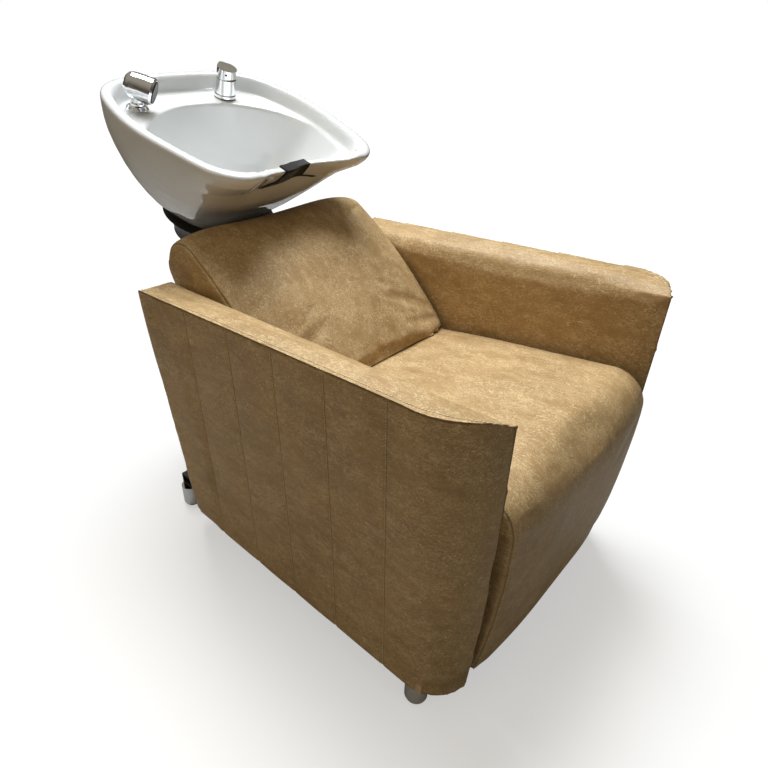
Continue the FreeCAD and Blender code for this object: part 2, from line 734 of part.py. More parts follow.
def make_waste():
    floor = bowl_floor - bowl_depth
    axis = V(0, foot_v, 0)
    shoulder = bracket_under - waste_step
    low = shoulder - waste_tail

    def up(shape):
        return in_basin(shape.translated(axis))
    flange = turned([(waste_tail_radius - waste_wall, floor), (waste_radius, floor), (waste_radius, floor + 2),
                     (waste_radius - 4, floor + waste_flange), (waste_tail_radius + 2, floor + waste_flange - 1),
                     (waste_tail_radius - waste_wall, floor + 1)], V(0, 0, 0), V(0, 0, 1))
    body = turned([(waste_tail_radius - waste_wall, floor), (waste_thread_radius, floor),
                   (waste_thread_radius, shoulder), (waste_tail_radius, shoulder),
                   (waste_tail_radius, low), (waste_tail_radius - waste_wall, low)], V(0, 0, 0), V(0, 0, 1))
    seal = turned([(waste_thread_radius, -bowl_depth - 3), (waste_nut_radius - 2, -bowl_depth - 3),
                   (waste_nut_radius - 2, -bowl_depth), (waste_thread_radius, -bowl_depth)],
                  V(0, 0, 0), V(0, 0, 1))
    nut = hexagon(waste_nut_radius, waste_nut, V(0, 0, -bowl_depth - 3 - waste_nut))
    nut = nut.cut(rod(waste_thread_radius, V(0, 0, -bowl_depth - 40), V(0, 0, -bowl_depth)))
    nodes["waste_flange"] = up(flange)
    nodes["waste_body"] = up(body)
    nodes["waste_seal"] = up(seal)
    nodes["waste_nut"] = up(nut)
    top = floor + waste_flange + 0.1
    disc = turned([(0, top), (strainer_radius, top), (strainer_radius, top + 1.5), (strainer_knob, top + 3),
                   (strainer_knob - 2, top + 9), (strainer_knob, top + 12), (0, top + 13)],
                  V(0, 0, 0), V(0, 0, 1))
    ring = (strainer_radius + strainer_knob) / 2
    for k in range(strainer_holes):
        turn = 2 * math.pi * k / strainer_holes
        place = V(ring * math.cos(turn), ring * math.sin(turn), top - 1)
        disc = disc.cut(rod(strainer_hole, place, place + V(0, 0, 5)))
    nodes["hair_strainer"] = up(disc)


def make_cradle():
    low = -bowl_depth - cradle_drop
    neck = cradle_neck_radius
    top = cradle_top_radius
    height = cradle_drop + cradle_rise
    flare = [(neck + (top - neck) * out, low + height * up) for out, up in ((0, 0), (0.12, 0.26), (0.32, 0.52),
                                                                            (0.6, 0.77), (1, 1))]
    dish = turned([(0, low - cradle_plate), (neck, low - cradle_plate)] + flare + [(0, low + height)],
                  V(0, 0, 0), V(0, 0, 1))
    room = turned([(0, low), (neck - 4, low), (neck - 4, -bowl_depth + 8), (0, -bowl_depth + 8)],
                  V(0, 0, 0), V(0, 0, 1))
    bore = rod(waste_thread_radius + waste_clear, V(0, 0, low - cradle_plate - 1), V(0, 0, low + 1))
    dish = dish.cut(room).cut(bore).translated(V(0, foot_v, 0)).cut(bowl_solid(seat_fit))
    nodes["bowl_cradle"] = in_basin(dish)
    pin = basin_place.inverse().multVec(V(0, pin_y, pin_z))
    under = low - cradle_plate
    out = cheek_x - washer_thickness - running_fit
    v0 = pin.y - lug_round * 1.6
    v1 = foot_v + waste_thread_radius + bracket_end
    plate = box(-out, out, v0, v1, under - lug_thickness, under)
    plate = plate.cut(rod(waste_thread_radius + waste_clear, V(0, foot_v, under - lug_thickness - 1),
                          V(0, foot_v, under + 1)))
    lug = outline(V(out, v0, under - lug_thickness), V(out, pin.y - lug_round, pin.z),
                  (V(out, pin.y, pin.z - lug_round), V(out, pin.y + lug_round, pin.z)),
                  V(out, v1, under - lug_thickness), V(out, v0, under - lug_thickness))
    lug = prism(lug, V(-lug_thickness, 0, 0))
    hole = rod(pin_radius + running_fit, V(out - lug_thickness - 1, pin.y, pin.z), V(out + 1, pin.y, pin.z))
    lug = lug.cut(hole)
    nodes["tilt_bracket"] = in_basin(plate.multiFuse([lug, mirrored(lug)]).removeSplitter())


# Mixer and hand spray on the tap deck

body_low = deck + gasket
joint_w = body_low + mixer_body_height
disc_radius = mixer_radius - 4.5


def make_mixer():
    axis = V(mixer_x, mixer_v, 0)

    def place(shape):
        return in_basin(shape.translated(axis))
    nodes["mixer_gasket"] = place(rod(mixer_base_radius, V(0, 0, deck), V(0, 0, body_low)).cut(
        rod(mixer_shank_radius, V(0, 0, deck - 1), V(0, 0, body_low + 1))))
    body = turned([(0, body_low), (mixer_base_radius, body_low), (mixer_base_radius, body_low + mixer_base - 1.5),
                   (mixer_base_radius - 1.5, body_low + mixer_base), (mixer_radius, body_low + mixer_base),
                   (mixer_radius, joint_w - trim_gap - 1), (mixer_radius - 1, joint_w - trim_gap),
                   (disc_radius + running_fit, joint_w - trim_gap),
                   (disc_radius + running_fit, joint_w - trim_gap - cartridge_height),
                   (0, joint_w - trim_gap - cartridge_height)], V(0, 0, 0), V(0, 0, 1))
    nodes["mixer_body"] = place(body)
    shank_low = pocket_top - mixer_nut - 14
    nodes["mixer_shank"] = place(rod(mixer_shank_radius, V(0, 0, shank_low), V(0, 0, body_low)).cut(
        rod(mixer_shank_radius - 4, V(0, 0, shank_low - 1), V(0, 0, body_low - 6))))
    nut = hexagon(mixer_nut_radius, mixer_nut, V(0, 0, pocket_top - mixer_nut))
    nodes["mixer_nut"] = place(nut.cut(rod(mixer_shank_radius, V(0, 0, shank_low), V(0, 0, deck))))
    # The cartridge turns in the body and carries the lever on a cross pin near the front.
    low = joint_w - trim_gap - cartridge_height
    disc = rod(disc_radius, V(0, 0, low), V(0, 0, joint_w - trim_gap))
    ear = box(-ear_half, ear_half, -lever_arm - 3, -lever_arm + 3, joint_w - trim_gap, joint_w + lever_pin_w + 3)
    across = V(pin_half, 0, 0)
    pivot = V(0, -lever_arm, joint_w + lever_pin_w)
    ear = ear.cut(rod(lever_pin_radius, pivot - across, pivot + across))
    nodes["mixer_cartridge"] = place(disc.fuse(ear).removeSplitter())
    nodes["lever_pin"] = place(rod(lever_pin_radius, pivot - across, pivot + across))
    top = joint_w + mixer_cap_high
    cap = rod(mixer_radius, V(0, 0, joint_w), V(0, 0, top + 6))
    blade = outline(V(-mixer_radius, 0, 0), V(-blade_half, mixer_radius + blade_reach - 4, 0),
                    (V(0, mixer_radius + blade_reach, 0), V(blade_half, mixer_radius + blade_reach - 4, 0)),
                    V(mixer_radius, 0, 0), V(-mixer_radius, 0, 0))
    cap = cap.fuse(prism(blade, V(0, 0, mixer_cap_high + 6)).translated(V(0, 0, joint_w)))
    rise = (mixer_cap_high - mixer_cap_low) / (2 * mixer_radius)
    far = cut_reach
    over = [V(-far, -far, joint_w + mixer_cap_low - rise * (far - mixer_radius)),
            V(-far, far, joint_w + mixer_cap_high + rise * (far - mixer_radius)), V(-far, far, top + far),
            V(-far, -far, top + far)]
    cap = cap.cut(prism(Part.makePolygon(over + over[:1]), V(2 * far, 0, 0)))
    under = [V(-far, mixer_radius * 0.6, joint_w), V(-far, far, joint_w), V(-far, far, top - blade_thickness)]
    cap = cap.cut(prism(Part.makePolygon(under + under[:1]), V(2 * far, 0, 0)))
    heel = math.tan(math.radians(lever_lift + 1))
    relief = [V(-far, -lever_arm, joint_w - 1), V(-far, -far, joint_w - 1),
              V(-far, -far, joint_w + heel * (far - lever_arm))]
    cap = cap.cut(prism(Part.makePolygon(relief + relief[:1]), V(2 * far, 0, 0)))
    cap = cap.cut(rod(disc_radius, V(0, 0, joint_w - 1), V(0, 0, joint_w + cap_room)))
    cap = cap.cut(rod(lever_pin_radius + running_fit, pivot - across * 1.02, pivot + across * 1.02))
    face = V(-math.sin(math.radians(plug_bearing)), -math.cos(math.radians(plug_bearing)), 0)
    seat = V(0, 0, joint_w + plug_w)
    plug = rod(plug_radius, seat + face * (mixer_radius - 3), seat + face * (mixer_radius - 0.6))
    cap = cap.cut(rod(plug_radius, seat + face * (mixer_radius - 3), seat + face * (mixer_radius + 3)))
    nodes["mixer_lever"] = place(cap)
    nodes["screw_plug"] = place(plug)


def make_spray():
    axis = V(spray_x, spray_v, 0)

    def place(shape):
        return in_basin(shape.translated(axis))
    lobes = turned([(spray_neck_radius + running_fit, deck), (spray_flange_radius, deck),
                    (spray_flange_radius, deck + 4), (spray_flange_radius - 6, deck + spray_flange),
                    (spray_neck_radius + running_fit, deck + spray_flange)], V(0, 0, 0), V(0, 0, 1))
    for k in range(6):
        turn = math.radians(60 * k + 30)
        spot = V(1.12 * spray_flange_radius * math.cos(turn), 1.12 * spray_flange_radius * math.sin(turn), deck)
        lobes = lobes.cut(rod(5.0, spot, spot + V(0, 0, spray_flange)))
    nodes["spray_flange"] = place(lobes)
    low = pocket_top - mixer_nut - 14
    sleeve = rod(spray_sleeve_radius, V(0, 0, low), V(0, 0, deck)).cut(
        rod(spray_neck_radius + running_fit, V(0, 0, low - 1), V(0, 0, deck + 1)))
    nodes["spray_sleeve"] = place(sleeve)
    nut = hexagon(spray_nut_radius, mixer_nut, V(0, 0, pocket_top - mixer_nut))
    nodes["spray_nut"] = place(nut.cut(rod(spray_sleeve_radius, V(0, 0, low), V(0, 0, deck))))
    top = deck + spray_flange + spray_neck
    stem = turned([(0, top - spray_tail), (spray_neck_radius, top - spray_tail),
                   (spray_neck_radius, deck + spray_flange + seat_fit),
                   (spray_neck_radius + 3, deck + spray_flange + seat_fit),
                   (spray_neck_radius + 3, deck + spray_flange + 4), (spray_neck_radius, deck + spray_flange + 7),
                   (spray_neck_radius, top), (0, top)], V(0, 0, 0), V(0, 0, 1))
    nodes["spray_stem"] = place(stem)
    lean = math.radians(spray_lean)
    bearing = math.radians(spray_bearing)
    aim = V(math.sin(lean) * math.sin(bearing), -math.sin(lean) * math.cos(bearing), math.cos(lean))
    r = spray_head_radius
    back = -0.42 * spray_head_length
    front = 0.58 * spray_head_length
    head = turned([(0, back), (0.5 * r, back + 0.07 * r), (0.74 * r, back + 0.24 * r),
                   (0.87 * r, back + 0.52 * r), (0.92 * r, back + 0.9 * r), (r, front - 4),
                   (r - 2.5, front), (0, front)], V(0, 0, 0), V(0, 0, 1))
    turn = FreeCAD.Rotation(V(0, 0, 1), aim)
    heart = V(0, 0, top + 0.72 * r)
    head = head.transformed(FreeCAD.Placement(heart, turn).toMatrix())
    face = turned([(0, 0), (0.8 * r, 0), (0.76 * r, 2), (0, 2)], V(0, 0, 0), V(0, 0, 1))
    face = face.transformed(FreeCAD.Placement(heart + aim * front, turn).toMatrix())
    nodes["spray_head"] = place(head.cut(rod(spray_neck_radius, V(0, 0, top - spray_tail), V(0, 0, top))))
    nodes["spray_face"] = place(face)


def make_bolts():
    heads = []
    for sx in (-1, 1):
        for sy in (-1, 1):
            spot = V(sx * (plate_width / 2 - bolt_edge), column_y + sy * (plate_depth / 2 - bolt_edge * 1.4),
                     frame_top + plate_thickness)
            heads.append(hexagon(bolt_radius, bolt_head, spot))
    nodes["plate_bolts"] = Part.makeCompound(heads)


nodes["base_frame"] = make_base()
make_feet()
make_arm()
make_seat()
make_back()
make_rear()
make_column()
make_yoke()
make_basin()
make_waste()
make_cradle()
make_mixer()
make_spray()
make_bolts()

# The origin sits on the floor under the middle of the whole unit.
front_end = nodes["seat_cushion"].optimalBoundingBox(False).YMin
rear_end = nodes["basin"].optimalBoundingBox(False).YMax
to_middle = V(0, -(front_end + rear_end) / 2, 0)

os.makedirs("parts", exist_ok=True)
for name, shape in nodes.items():
    shape.translated(to_middle).exportStep("parts/" + name + ".step")
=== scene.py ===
import bpy
import bmesh
import json
import math
from mathutils import Euler, Matrix, Vector, kdtree, noise
from mathutils.bvhtree import BVHTree


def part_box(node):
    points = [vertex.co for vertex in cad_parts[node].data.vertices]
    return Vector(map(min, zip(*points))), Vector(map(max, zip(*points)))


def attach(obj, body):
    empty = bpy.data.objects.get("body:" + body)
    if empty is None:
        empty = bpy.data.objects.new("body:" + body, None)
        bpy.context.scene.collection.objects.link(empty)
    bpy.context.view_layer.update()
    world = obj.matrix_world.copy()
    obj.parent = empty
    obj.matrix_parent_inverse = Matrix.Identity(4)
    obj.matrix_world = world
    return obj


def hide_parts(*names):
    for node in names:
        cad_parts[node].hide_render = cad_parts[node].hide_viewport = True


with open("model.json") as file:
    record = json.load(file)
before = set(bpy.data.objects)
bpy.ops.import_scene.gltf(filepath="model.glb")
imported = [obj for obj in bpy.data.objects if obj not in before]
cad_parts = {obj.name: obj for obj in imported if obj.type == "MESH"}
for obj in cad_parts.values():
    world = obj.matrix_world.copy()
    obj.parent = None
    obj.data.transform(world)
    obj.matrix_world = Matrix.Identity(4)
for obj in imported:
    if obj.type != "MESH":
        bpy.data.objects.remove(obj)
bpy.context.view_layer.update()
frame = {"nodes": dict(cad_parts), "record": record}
nodes = frame["nodes"]
scene = bpy.context.scene
scene.view_settings.view_transform = "Standard"
print("frame loaded:", len(nodes), "nodes")


# small helpers for meshes

mergeGap = 0.00002      # corners of a solid closer than this are one
noLength = 1e-9
lineStep = 0.001        # between the points of a sewn line
refineReach = 0.007     # finer faces on either side of it
softenFactor = 0.5


def newPiece(name, mesh):
    piece = bpy.data.objects.new(name, mesh)
    scene.collection.objects.link(piece)
    return piece


def plainMesh(piece):
    # modifiers become a plain mesh
    graph = bpy.context.evaluated_depsgraph_get()
    mesh = bpy.data.meshes.new_from_object(piece.evaluated_get(graph))
    piece.modifiers.clear()
    piece.data = mesh


def nodeCopy(node, name):
    # a merged copy of a CAD solid
    bm = bmesh.new()
    bm.from_mesh(nodes[node].data)
    bmesh.ops.remove_doubles(bm, verts=bm.verts, dist=mergeGap)
    mesh = bpy.data.meshes.new(name)
    bm.to_mesh(mesh)
    bm.free()
    return newPiece(name, mesh)


def shadeSmooth(piece):
    for face in piece.data.polygons:
        face.use_smooth = True


def dress(piece, material):
    piece.data.materials.clear()
    piece.data.materials.append(material)


def pointTree(points):
    tree = kdtree.KDTree(len(points))
    for k, p in enumerate(points):
        tree.insert(p, k)
    tree.balance()
    return tree


def surfaceOf(piece):
    bm = bmesh.new()
    bm.from_mesh(piece.data)
    tree = BVHTree.FromBMesh(bm)
    bm.free()
    return tree


def snapped(points, tree, lift=0.0):
    out = []
    for p in points:
        spot, normal, _, _ = tree.find_nearest(p)
        out.append(spot + normal * lift)
    return out


def evenly(points, step):
    # the same line with a point every step metres
    out = [points[0].copy()]
    spare = 0.0
    for a, b in zip(points, points[1:]):
        run = (b - a).length
        if run < noLength:
            continue
        at = step - spare
        while at <= run:
            out.append(a.lerp(b, at / run))
            at += step
        spare = run - (at - step)
    return out


def mirrorX(points):
    return [Vector((-p.x, p.y, p.z)) for p in points]


# materials

def newMaterial(name):
    mat = bpy.data.materials.new(name)
    mat.use_nodes = True
    tree = mat.node_tree
    return mat, tree, tree.nodes["Principled BSDF"]


def addNode(tree, kind, values=None, **fields):
    node = tree.nodes.new(kind)
    for key, value in fields.items():
        setattr(node, key, value)
    for key, value in (values or {}).items():
        node.inputs[key].default_value = value
    return node


def mathNode(tree, operation, a, b=None):
    node = addNode(tree, "ShaderNodeMath", operation=operation)
    for k, value in enumerate((a, b)):
        if value is None:
            continue
        if isinstance(value, (int, float)):
            node.inputs[k].default_value = value
        else:
            tree.links.new(value, node.inputs[k])
    return node.outputs[0]


def spread(tree, value, low, high, toLow=0.0, toHigh=1.0):
    node = addNode(tree, "ShaderNodeMapRange", {"From Min": low, "From Max": high,
                                                "To Min": toLow, "To Max": toHigh})
    node.interpolation_type = "SMOOTHSTEP"
    tree.links.new(value, node.inputs["Value"])
    return node.outputs["Result"]


def blendColour(tree, factor, a, b):
    node = addNode(tree, "ShaderNodeMix", data_type="RGBA")
    for key, value in ((0, factor), (6, a), (7, b)):
        if isinstance(value, (tuple, list, float, int)):
            node.inputs[key].default_value = value
        else:
            tree.links.new(value, node.inputs[key])
    return node.outputs[2]


def noiseNode(tree, vector, scale, detail=3.0, rough=0.5, distort=0.0):
    node = addNode(tree, "ShaderNodeTexNoise", {"Scale": scale, "Detail": detail, "Roughness": rough,
                                                "Distortion": distort})
    tree.links.new(vector, node.inputs["Vector"])
    return node.outputs["Fac"]


hideLook = {
    "fibreScale": 82.0, "fibreGrowth": 0.3, "fibreStretch": 0.4, "fibreWidth": 0.024, "fibreDistort": 1.6,
    "fibreSpread": (0.43, 0.57), "fibreShift": (3.1, 1.7, 0.9), "fibrePatch": 21.0, "fibrePatchStep": 6,
    "fibreTurns": ((0.2, 0.5, 0.3), (1.1, -0.4, 1.4), (-0.7, 0.9, 2.4), (0.5, 1.6, -0.8), (1.9, 0.2, 0.9)),
    "mottleScale": 9.0, "mottleShare": 0.45, "mottleSpread": (0.34, 0.66),
    "patchScale": 34.0, "patchShare": 0.55,
    "grainScale": 820.0, "grainShare": 0.55, "creaseScale": 240.0, "creaseShare": 0.6,
}


def hideGroup(look):
    # mottled hide with pale fibre-like scuffs: colour mask, wear mask and grain height
    group = bpy.data.node_groups.new("scuffedHide", "ShaderNodeTree")
    face = group.interface
    face.new_socket("Vector", in_out="INPUT", socket_type="NodeSocketVector")
    for name in ("Mottle", "Fibres", "Grain"):
        face.new_socket(name, in_out="OUTPUT", socket_type="NodeSocketFloat")
    start = group.nodes.new("NodeGroupInput")
    end = group.nodes.new("NodeGroupOutput")
    where = start.outputs["Vector"]
    broad = noiseNode(group, where, look["mottleScale"], detail=3.0, rough=0.55)
    patch = noiseNode(group, where, look["patchScale"], detail=4.0, rough=0.62, distort=0.6)
    mottle = mathNode(group, "ADD", mathNode(group, "MULTIPLY", broad, look["mottleShare"]),
                      mathNode(group, "MULTIPLY", patch, look["patchShare"]))
    group.links.new(spread(group, mottle, *look["mottleSpread"]), end.inputs["Mottle"])
    fibres = None
    for k, turn in enumerate(look["fibreTurns"]):
        shift = tuple(k * part for part in look["fibreShift"])
        lay = addNode(group, "ShaderNodeMapping", {"Rotation": turn, "Location": shift,
                                                   "Scale": (1.0, look["fibreStretch"], 1.0)})
        group.links.new(where, lay.inputs["Vector"])
        scale = look["fibreScale"] * (1.0 + look["fibreGrowth"] * k)
        field = noiseNode(group, lay.outputs["Vector"], scale, detail=2.0, rough=0.55,
                          distort=look["fibreDistort"])
        offset = mathNode(group, "ABSOLUTE", mathNode(group, "SUBTRACT", field, 0.5))
        line = spread(group, offset, 0.0, look["fibreWidth"], 1.0, 0.0)
        patchScale = look["fibrePatch"] + look["fibrePatchStep"] * k
        worn = noiseNode(group, lay.outputs["Vector"], patchScale, detail=2.0, rough=0.6)
        line = mathNode(group, "MULTIPLY", line, spread(group, worn, *look["fibreSpread"]))
        fibres = line if fibres is None else mathNode(group, "MAXIMUM", fibres, line)
    group.links.new(fibres, end.inputs["Fibres"])
    pebble = addNode(group, "ShaderNodeTexVoronoi", {"Scale": look["grainScale"], "Randomness": 1.0})
    pebble.feature = "SMOOTH_F1"
    group.links.new(where, pebble.inputs["Vector"])
    crease = noiseNode(group, where, look["creaseScale"], detail=3.0, rough=0.6)
    grain = mathNode(group, "ADD", mathNode(group, "MULTIPLY", pebble.outputs["Distance"], look["grainShare"]),
                     mathNode(group, "MULTIPLY", crease, look["creaseShare"]))
    group.links.new(grain, end.inputs["Grain"])
    return group


hide = hideGroup(hideLook)


# The seam colour is painted shadow: a near-black brown blended into the cover along the sewn folds, where the
# cover lies in shade.
leatherLook = {
    "dark": (0.315, 0.198, 0.084, 1), "mid": (0.4, 0.26, 0.117, 1), "pale": (0.78, 0.61, 0.36, 1),
    "seam": (0.035, 0.02, 0.009, 1), "fibreAmount": 0.7, "paintedShadeAmount": 0.8, "rough": 0.45,
    "mottleRough": 0.1, "fibreRough": 0.12, "bumpStrength": 0.18, "bumpDepth": 0.0006, "shine": 0.25,
}


def leatherMaterial(name, look):
    mat, tree, skin = newMaterial(name)
    where = addNode(tree, "ShaderNodeTexCoord")
    group = addNode(tree, "ShaderNodeGroup")
    group.node_tree = hide
    tree.links.new(where.outputs["Object"], group.inputs["Vector"])
    base = blendColour(tree, group.outputs["Mottle"], look["dark"], look["mid"])
    weight = mathNode(tree, "MULTIPLY", group.outputs["Fibres"], look["fibreAmount"])
    colour = blendColour(tree, weight, base, look["pale"])
    # painted shadow: the colour darkens towards the seam colour along the sewn folds, by the seam shade
    # attribute
    seam = addNode(tree, "ShaderNodeAttribute", attribute_name="paintedSeamShade")
    shade = mathNode(tree, "MULTIPLY", seam.outputs["Fac"], look["paintedShadeAmount"])
    colour = blendColour(tree, shade, colour, look["seam"])
    tree.links.new(colour, skin.inputs["Base Color"])
    rough = mathNode(tree, "ADD", mathNode(tree, "MULTIPLY", group.outputs["Mottle"], look["mottleRough"]),
                     mathNode(tree, "MULTIPLY", group.outputs["Fibres"], look["fibreRough"]))
    tree.links.new(mathNode(tree, "ADD", rough, look["rough"]), skin.inputs["Roughness"])
    bump = addNode(tree, "ShaderNodeBump", {"Strength": look["bumpStrength"], "Distance": look["bumpDepth"]})
    tree.links.new(group.outputs["Grain"], bump.inputs["Height"])
    tree.links.new(bump.outputs["Normal"], skin.inputs["Normal"])
    skin.inputs["Specular IOR Level"].default_value = look["shine"]
    return mat


tanHide = leatherMaterial("tanHide", leatherLook)
threadLook = {"scale": 700.0, "dark": (0.5, 0.4, 0.22, 1), "pale": (0.68, 0.58, 0.36, 1), "rough": 0.6}


def threadMaterial(look):
    mat, tree, skin = newMaterial("paleThread")
    where = addNode(tree, "ShaderNodeTexCoord")
    tone = noiseNode(tree, where.outputs["Object"], look["scale"], detail=2.0)
    tree.links.new(blendColour(tree, tone, look["dark"], look["pale"]), skin.inputs["Base Color"])
    skin.inputs["Roughness"].default_value = look["rough"]
    return mat


paleThread = threadMaterial(threadLook)
glossLook = {"cloud": (0.3, 0.7), "leastRough": 0.01, "worn": 0.9, "bumpStrength": 0.35, "bumpFineness": 12}


def glossMaterial(name, colour, rough, vary, scale, metal=0.0, coat=0.0, bumpDepth=0.0, shine=0.5):
    # smooth hard finish with a slight change of gloss and tone over the surface
    mat, tree, skin = newMaterial(name)
    where = addNode(tree, "ShaderNodeTexCoord")
    cloud = noiseNode(tree, where.outputs["Object"], scale, detail=3.0, rough=0.55)
    least = max(rough - vary, glossLook["leastRough"])
    tree.links.new(spread(tree, cloud, *glossLook["cloud"], least, rough + vary), skin.inputs["Roughness"])
    worn = tuple(c * glossLook["worn"] for c in colour)
    tree.links.new(blendColour(tree, cloud, (*worn, 1), (*colour, 1)), skin.inputs["Base Color"])
    skin.inputs["Metallic"].default_value = metal
    skin.inputs["Coat Weight"].default_value = coat
    skin.inputs["Specular IOR Level"].default_value = shine
    if bumpDepth:
        bump = addNode(tree, "ShaderNodeBump", {"Strength": glossLook["bumpStrength"], "Distance": bumpDepth})
        fine = noiseNode(tree, where.outputs["Object"], scale * glossLook["bumpFineness"], detail=2.0)
        tree.links.new(fine, bump.inputs["Height"])
        tree.links.new(bump.outputs["Normal"], skin.inputs["Normal"])
    return mat


finishes = {
    "white_ceramic": glossMaterial("whiteGlaze", (0.79, 0.805, 0.81), 0.07, vary=0.02, scale=9.0, coat=0.4),
    "chrome": glossMaterial("polishedChrome", (0.8, 0.81, 0.82), 0.07, metal=1.0, vary=0.03, scale=90.0),
    "black_rubber": glossMaterial("blackRubber", (0.008, 0.008, 0.009), 0.34, vary=0.06, scale=120.0,
                                  shine=0.2),
    "black_plastic": glossMaterial("blackMoulding", (0.018, 0.018, 0.018), 0.42, vary=0.06, scale=90.0,
                                   bumpDepth=0.0002),
    "black_steel": glossMaterial("blackPowderCoat", (0.016, 0.016, 0.017), 0.5, vary=0.08, scale=70.0,
                                 bumpDepth=0.0003),
    "plywood": glossMaterial("birchPly", (0.6, 0.44, 0.27), 0.6, vary=0.08, scale=25.0),
    "steel": glossMaterial("zincSteel", (0.5, 0.5, 0.51), 0.32, metal=1.0, vary=0.08, scale=140.0),
    "brass": glossMaterial("turnedBrass", (0.68, 0.5, 0.22), 0.28, metal=1.0, vary=0.06, scale=140.0),
    "tan_leather": tanHide,
}
for entry in frame["record"]["subparts"]:
    dress(nodes[entry["node"]], finishes[entry["material_slot"]])
print("materials set on the frame")


# upholstery

pinReach = 0.005        # cover this near to a sewn line is held by it
creaseStep = 0.0008
rippleSkew = 0.7
clothLook = {"quality": 3, "mass": 0.4, "tension_stiffness": 20, "compression_stiffness": 20,
             "shear_stiffness": 10, "bending_stiffness": 4}


def plumpUp(piece, look, pins=()):
    # remesh, a short inflation, movement capped; pins are sewn lines that stay put
    tuck, cap = look["tuck"], look["cap"]
    remesh = piece.modifiers.new("remesh", "REMESH")
    if "crispDepth" in look:
        remesh.mode = "SHARP"
        remesh.octree_depth = look["crispDepth"]
        remesh.scale = look["crispScale"]
    else:
        remesh.mode = "VOXEL"
        remesh.voxel_size = look["voxel"]
    plainMesh(piece)
    soften = piece.modifiers.new("soften", "SMOOTH")
    soften.factor = softenFactor
    soften.iterations = look["smooth"]
    plainMesh(piece)
    print(piece.name, "remeshed:", len(piece.data.polygons), "faces")
    mesh = piece.data
    normals = [v.normal.copy() for v in mesh.vertices]
    for v, n in zip(mesh.vertices, normals):
        v.co -= n * tuck
    start = [v.co.copy() for v in mesh.vertices]
    held = piece.vertex_groups.new(name="sewn")
    if pins:
        tree = pointTree(pins)
        for v in mesh.vertices:
            gap = tree.find(v.co)[2]
            if gap < pinReach + tuck:
                held.add([v.index], 1.0, "REPLACE")
    cloth = piece.modifiers.new("plump", "CLOTH")
    setup = cloth.settings
    for key, value in clothLook.items():
        setattr(setup, key, value)
    setup.use_pressure = True
    setup.uniform_pressure_force = look["pressure"]
    setup.effector_weights.gravity = 0
    if pins:
        setup.vertex_group_mass = "sewn"
    cloth.collision_settings.use_collision = False
    for step in range(1, look["frames"] + 1):
        scene.frame_set(step)
    plainMesh(piece)
    scene.frame_set(1)
    for v, home in zip(piece.data.vertices, start):
        move = v.co - home
        if move.length > cap:
            v.co = home + move * (cap / move.length)
    piece.vertex_groups.clear()


def refineAlong(piece, lines):
    # finer faces beside the sewn lines
    tree = pointTree([p for line in lines for p in line])
    bm = bmesh.new()
    bm.from_mesh(piece.data)
    near = {v for v in bm.verts if tree.find(v.co)[2] < refineReach}
    edges = [e for e in bm.edges if e.verts[0] in near and e.verts[1] in near]
    bmesh.ops.subdivide_edges(bm, edges=edges, cuts=1, use_grid_fill=True)
    bm.to_mesh(piece.data)
    bm.free()


def sewIn(piece, lines, width, depth, shade, shadeReach):
    # pulls the cover in along each line and marks painted shade along it for the material to darken the cover
    mesh = piece.data
    tree = pointTree([p for line in lines for p in line])
    layer = mesh.attributes.get("paintedSeamShade") or mesh.attributes.new("paintedSeamShade", "FLOAT", "POINT")
    moves = []
    for v in mesh.vertices:
        gap = tree.find(v.co)[2]
        if gap < width:
            fall = (1 - (gap / width) ** 2) ** 2
            moves.append((v.index, v.co - v.normal * depth * fall))
            # painted shade, darkest on the line itself and fading out within a few millimetres
            mark = max(0.0, 1 - gap / shadeReach) * shade
            layer.data[v.index].value = max(layer.data[v.index].value, mark)
    for k, spot in moves:
        mesh.vertices[k].co = spot


def creasesOf(piece, angle):
    # short lines along the sharp edges of a mesh
    bm = bmesh.new()
    bm.from_mesh(piece.data)
    sharp = [e for e in bm.edges if len(e.link_faces) == 2 and e.calc_face_angle(0) > angle]
    lines = [[v.co.copy() for v in e.verts] for e in sharp]
    bm.free()
    return lines


def pullOnto(piece, lines, reach):
    # corners of the mesh next to a sharp edge move onto it, so that the edge stays crisp
    tree = pointTree([p for line in lines for p in evenly(line, creaseStep)])
    for v in piece.data.vertices:
        spot, _, gap = tree.find(v.co)
        if gap < reach:
            v.co = v.co.lerp(spot, min(1.0, 2 * (1 - gap / reach)))


def ripple(piece, size, height, seed):
    # slow unevenness of padding under the cover
    away = Vector((seed, seed * rippleSkew, 0))
    moves = [v.normal * height * noise.noise(v.co / size + away) for v in piece.data.vertices]
    for v, move in zip(piece.data.vertices, moves):
        v.co += move


def subdivided(piece):
    finer = piece.modifiers.new("finer", "SUBSURF")
    finer.levels = 1
    finer.render_levels = 1
    plainMesh(piece)


# stitches

stitchLook = {"segments": 6, "rings": 4, "uneven": (0.85, 1.1), "seed": 11}


